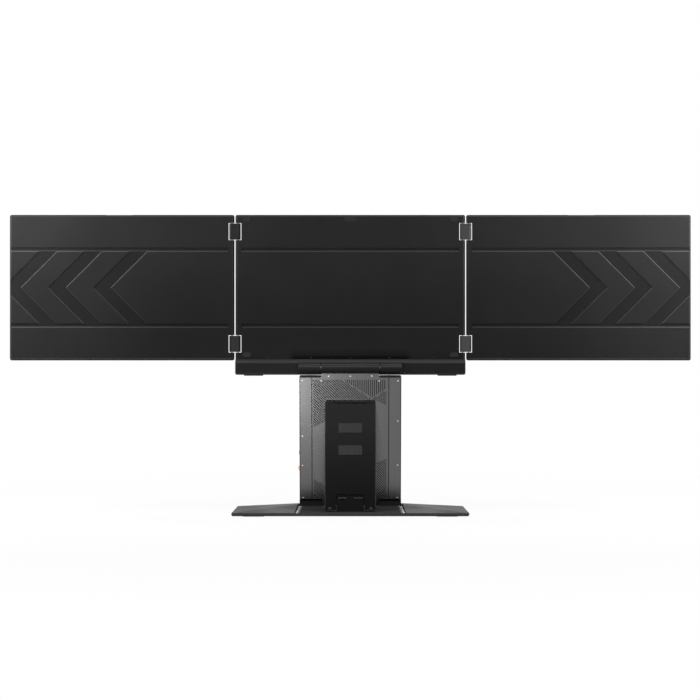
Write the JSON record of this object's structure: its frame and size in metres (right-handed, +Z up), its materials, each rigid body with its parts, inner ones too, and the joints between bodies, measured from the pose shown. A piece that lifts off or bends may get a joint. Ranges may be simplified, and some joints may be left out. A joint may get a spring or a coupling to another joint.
{
  "type": "laptop screen extender",
  "caption": "Free-standing triple display that folds: side screens turn on double-axis links, the centre screen tilts on a barrel hinge, and the mast leans on a kick leg over a faceted base.",
  "frame": {"origin": "on the table, under the middle of the base", "axes": "+Z up, +Y towards the user (the screens face +Y), +X to the right as seen from behind the device"},
  "size_m": [1.0918, 0.144, 0.4776],
  "materials": {
    "dark_cover": "dark anodised, satin",
    "bezel_black": "fine matt",
    "panel_film": "dark film",
    "screen_glass": "anti-glare glass",
    "circuit_board": "solder mask",
    "link_metal": "satin anodised",
    "bare_steel": "ground",
    "screw_steel": "dark plated",
    "base_grey": "grey anodised, fine blast",
    "panel_aluminium": "brushed, clear anodised",
    "tray_black": "fine matt",
    "rubber_black": "matt",
    "hinge_dark": "black satin coat",
    "plate_steel": "black coat",
    "copper_wheel": "copper-coloured, brushed",
    "button_black": "matt",
    "switch_black": "moulded",
    "socket_steel": "nickel plated"
  },
  "bodies": {
    "base": {"base_shell": "base_grey", "base_plate": "plate_steel", "base_ballast": "bare_steel", "base_feet": "rubber_black", "base_screws": "screw_steel", "left_hinge_ear": "hinge_dark", "right_hinge_ear": "hinge_dark", "base_hinge_pin": "bare_steel", "foot_bracket": "hinge_dark"},
    "mast": {"mast_tray": "tray_black", "back_panel": "panel_aluminium", "panel_screws": "screw_steel", "mast_foot_hinge": "hinge_dark", "tilt_barrel": "hinge_dark", "tilt_bumpers": "rubber_black", "main_board": "circuit_board", "usb_sockets": "socket_steel", "video_socket": "socket_steel", "power_switch": "switch_black", "wheel_axle": "bare_steel", "leg_hinge_block": "hinge_dark"},
    "leg": {"kick_leg": "hinge_dark", "leg_pin": "bare_steel", "leg_pads": "rubber_black", "leg_screws": "plate_steel", "leg_tips": "rubber_black"},
    "centre_display": {"centre_back_cover": "dark_cover", "centre_bezel": "bezel_black", "centre_lcd": "panel_film", "centre_glass": "screen_glass", "centre_driver_board": "circuit_board", "hinge_plate": "plate_steel", "tilt_knuckles": "hinge_dark", "tilt_pin": "bare_steel", "cover_screws": "screw_steel", "back_pads": "rubber_black", "chin_feet": "rubber_black", "left_inner_pins": "bare_steel", "right_inner_pins": "bare_steel"},
    "left_links": {"left_lower_link": "link_metal", "left_upper_link": "link_metal"},
    "left_display": {"left_back_cover": "dark_cover", "left_bezel": "bezel_black", "left_lcd": "panel_film", "left_glass": "screen_glass", "left_driver_board": "circuit_board", "left_outer_pins": "bare_steel"},
    "right_links": {"right_lower_link": "link_metal", "right_upper_link": "link_metal"},
    "right_display": {"right_back_cover": "dark_cover", "right_bezel": "bezel_black", "right_lcd": "panel_film", "right_glass": "screen_glass", "right_driver_board": "circuit_board", "right_outer_pins": "bare_steel"},
    "menu_wheel": {"menu_wheel": "copper_wheel"},
    "power_button": {"power_button": "button_black"}
  },
  "joints": [
    {"name": "mast_fold", "type": "hinge", "parent": "base", "child": "mast", "pos_m": [0, 0.02, 0.0147], "axis": [1, 0, 0], "range_deg": [-90, 0]},
    {"name": "leg_fold", "type": "hinge", "parent": "mast", "child": "leg", "pos_m": [0, -0.01109, 0.17804], "axis": [1, 0, 0], "range_deg": [0, 21.9]},
    {"name": "display_tilt", "type": "hinge", "parent": "mast", "child": "centre_display", "pos_m": [0, -0.00862, 0.23212], "axis": [1, 0, 0], "range_deg": [0, 90]},
    {"name": "left_link_turn", "type": "hinge", "parent": "centre_display", "child": "left_links", "pos_m": [-0.1802, 0.00448, 0.36], "axis": [0, 0, 1], "range_deg": [-90, 27.5]},
    {"name": "left_display_turn", "type": "hinge", "parent": "left_links", "child": "left_display", "pos_m": [-0.1898, 0.00448, 0.36], "axis": [0, 0, 1], "range_deg": [-90, 27.5]},
    {"name": "right_link_turn", "type": "hinge", "parent": "centre_display", "child": "right_links", "pos_m": [0.1802, 0.00448, 0.36], "axis": [0, 0, 1], "range_deg": [-27.5, 90]},
    {"name": "right_display_turn", "type": "hinge", "parent": "right_links", "child": "right_display", "pos_m": [0.1898, 0.00448, 0.36], "axis": [0, 0, 1], "range_deg": [-27.5, 90]},
    {"name": "menu_wheel_turn", "type": "hinge", "parent": "mast", "child": "menu_wheel", "pos_m": [-0.0775, 0.01658, 0.07134], "axis": [0, -0.9914, -0.1305], "range_deg": [-20, 20], "stiffness_Nm_per_rad": 0.005},
    {"name": "power_button_press", "type": "slide", "parent": "mast", "child": "power_button", "axis": [1, 0, 0], "range_m": [0, 0.0005], "stiffness_N_per_m": 800}
  ],
  "couplings": [
    {"joint": "leg_fold", "follows": "mast_fold", "ratio": -0.24}
  ]
}
